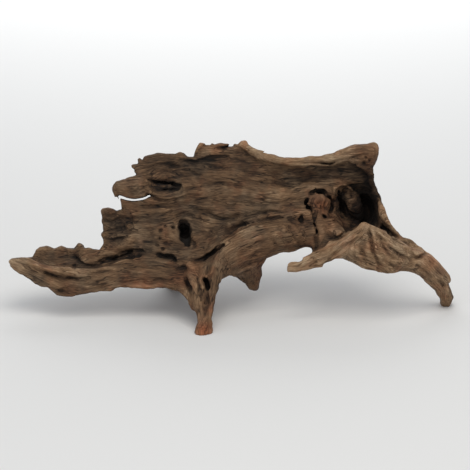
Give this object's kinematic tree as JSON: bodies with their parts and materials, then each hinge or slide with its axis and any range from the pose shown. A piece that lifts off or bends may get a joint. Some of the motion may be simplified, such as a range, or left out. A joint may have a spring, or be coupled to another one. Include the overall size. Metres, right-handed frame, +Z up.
{
  "type": "dry root",
  "caption": "Long weathered root wood slab leaning back on a front leg, with a hollowed arm, a knot hole, a deep hollow and a twisted limb, for display.",
  "frame": {"origin": "centre of the bounding box at floor level", "axes": "+X along the length to the right as the broad face is seen, -Y out of the broad face, +Z up"},
  "size_m": [1.0023, 0.382, 0.3745],
  "materials": {
    "weathered_wood": "dry and furrowed"
  },
  "bodies": {
    "root": {"dry_root": "weathered_wood"}
  },
  "joints": []
}
